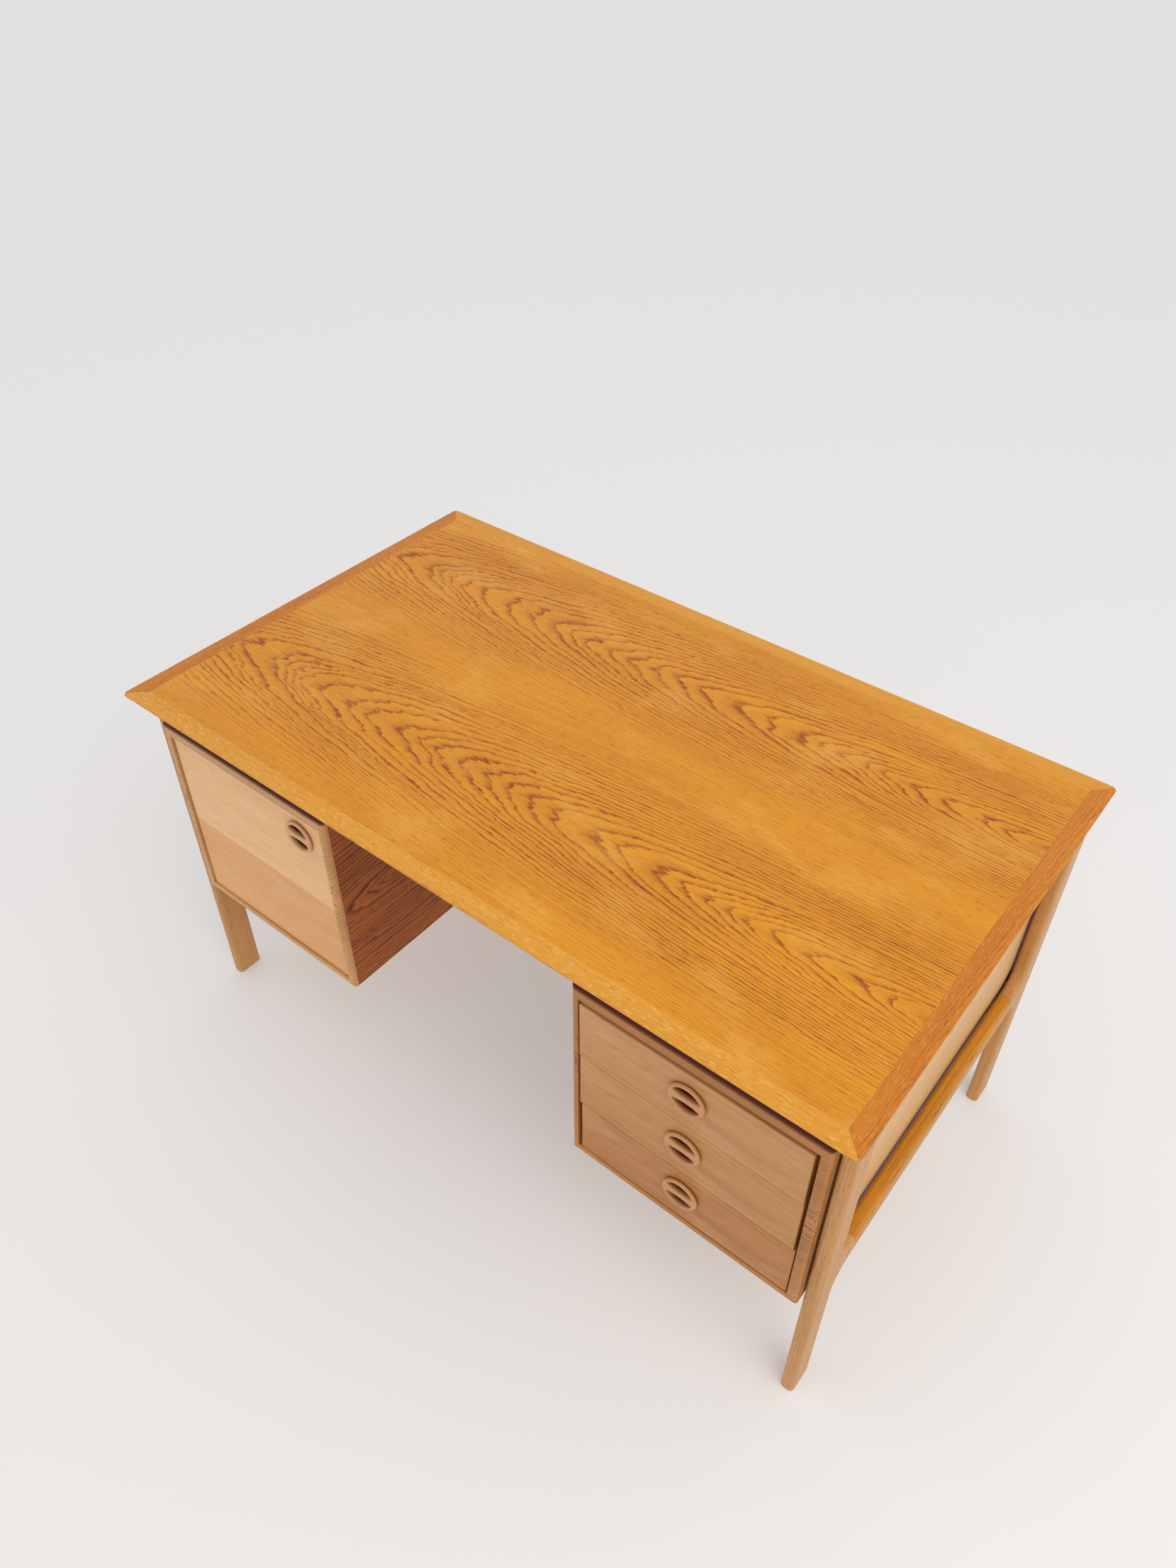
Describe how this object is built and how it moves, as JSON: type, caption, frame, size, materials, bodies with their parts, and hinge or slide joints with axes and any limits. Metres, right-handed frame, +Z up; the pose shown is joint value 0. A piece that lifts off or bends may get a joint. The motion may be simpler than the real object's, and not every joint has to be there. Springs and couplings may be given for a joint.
{
  "type": "writing desk",
  "caption": "Oak writing desk with a bevelled top on side frames, a cupboard case on the left, drawers on the right and round turned pulls.",
  "frame": {"origin": "on the floor, under the middle of the top", "axes": "+X along the desk to the right as seen from its front, +Y towards its back, +Z up"},
  "size_m": [1.338, 0.78, 0.72],
  "materials": {
    "top_veneer": "satin",
    "top_lipping": "satin",
    "frame_oak": "satin",
    "rail_oak": "matte",
    "spacer_oak": "matte",
    "case_veneer": "satin",
    "case_lipping": "satin",
    "front_oak": "satin",
    "pull_oak": "satin",
    "runner_beech": "matte",
    "drawer_beech": "matte",
    "drawer_ply": "matte",
    "shelf_veneer": "satin",
    "shelf_pin_steel": "satin",
    "steel_screws": "satin",
    "pivot_brass": "satin",
    "catch_plastic": "matte",
    "strike_steel": "satin"
  },
  "bodies": {
    "desk": {"case_left_back": "case_veneer", "case_left_floor": "case_veneer", "case_left_inner_side": "case_veneer", "case_left_lipping": "case_lipping", "case_left_outer_side": "case_veneer", "case_left_roof": "case_veneer", "case_right_back": "case_veneer", "case_right_floor": "case_veneer", "case_right_inner_side": "case_veneer", "case_right_lipping": "case_lipping", "case_right_outer_side": "case_veneer", "case_right_roof": "case_veneer", "case_screws": "steel_screws", "cross_rail_back": "rail_oak", "cross_rail_front": "rail_oak", "door_catch": "catch_plastic", "door_pivots": "pivot_brass", "drawer_bottom_runners": "runner_beech", "drawer_middle_runners": "runner_beech", "drawer_top_runners": "runner_beech", "leg_back_left": "frame_oak", "leg_back_right": "frame_oak", "leg_front_left": "frame_oak", "leg_front_right": "frame_oak", "leg_screws_left": "steel_screws", "leg_screws_right": "steel_screws", "shelf": "shelf_veneer", "shelf_pins": "shelf_pin_steel", "side_rail_left": "frame_oak", "side_rail_right": "frame_oak", "spacers_left": "spacer_oak", "spacers_right": "spacer_oak", "stretcher_left": "frame_oak", "stretcher_right": "frame_oak", "top_field": "top_veneer", "top_lipping_back": "top_lipping", "top_lipping_front": "top_lipping", "top_lipping_left": "top_lipping", "top_lipping_right": "top_lipping", "top_screws": "steel_screws"},
    "door": {"door_panel": "front_oak", "door_pull": "pull_oak", "door_bushes": "pivot_brass", "door_strike": "strike_steel"},
    "drawer_top": {"drawer_top_front": "front_oak", "drawer_top_pull": "pull_oak", "drawer_top_sides": "drawer_beech", "drawer_top_back": "drawer_beech", "drawer_top_panel": "drawer_ply"},
    "drawer_middle": {"drawer_middle_front": "front_oak", "drawer_middle_pull": "pull_oak", "drawer_middle_sides": "drawer_beech", "drawer_middle_back": "drawer_beech", "drawer_middle_panel": "drawer_ply"},
    "drawer_bottom": {"drawer_bottom_front": "front_oak", "drawer_bottom_pull": "pull_oak", "drawer_bottom_sides": "drawer_beech", "drawer_bottom_back": "drawer_beech", "drawer_bottom_panel": "drawer_ply"}
  },
  "joints": [
    {"name": "door_hinge", "type": "hinge", "parent": "desk", "child": "door", "pos_m": [-0.6095, -0.351, 0.464], "axis": [0, 0, -1], "range_deg": [0, 95]},
    {"name": "drawer_top_slide", "type": "slide", "parent": "desk", "child": "drawer_top", "axis": [0, -1, 0], "range_m": [0, 0.4]},
    {"name": "drawer_middle_slide", "type": "slide", "parent": "desk", "child": "drawer_middle", "axis": [0, -1, 0], "range_m": [0, 0.4]},
    {"name": "drawer_bottom_slide", "type": "slide", "parent": "desk", "child": "drawer_bottom", "axis": [0, -1, 0], "range_m": [0, 0.4]}
  ]
}
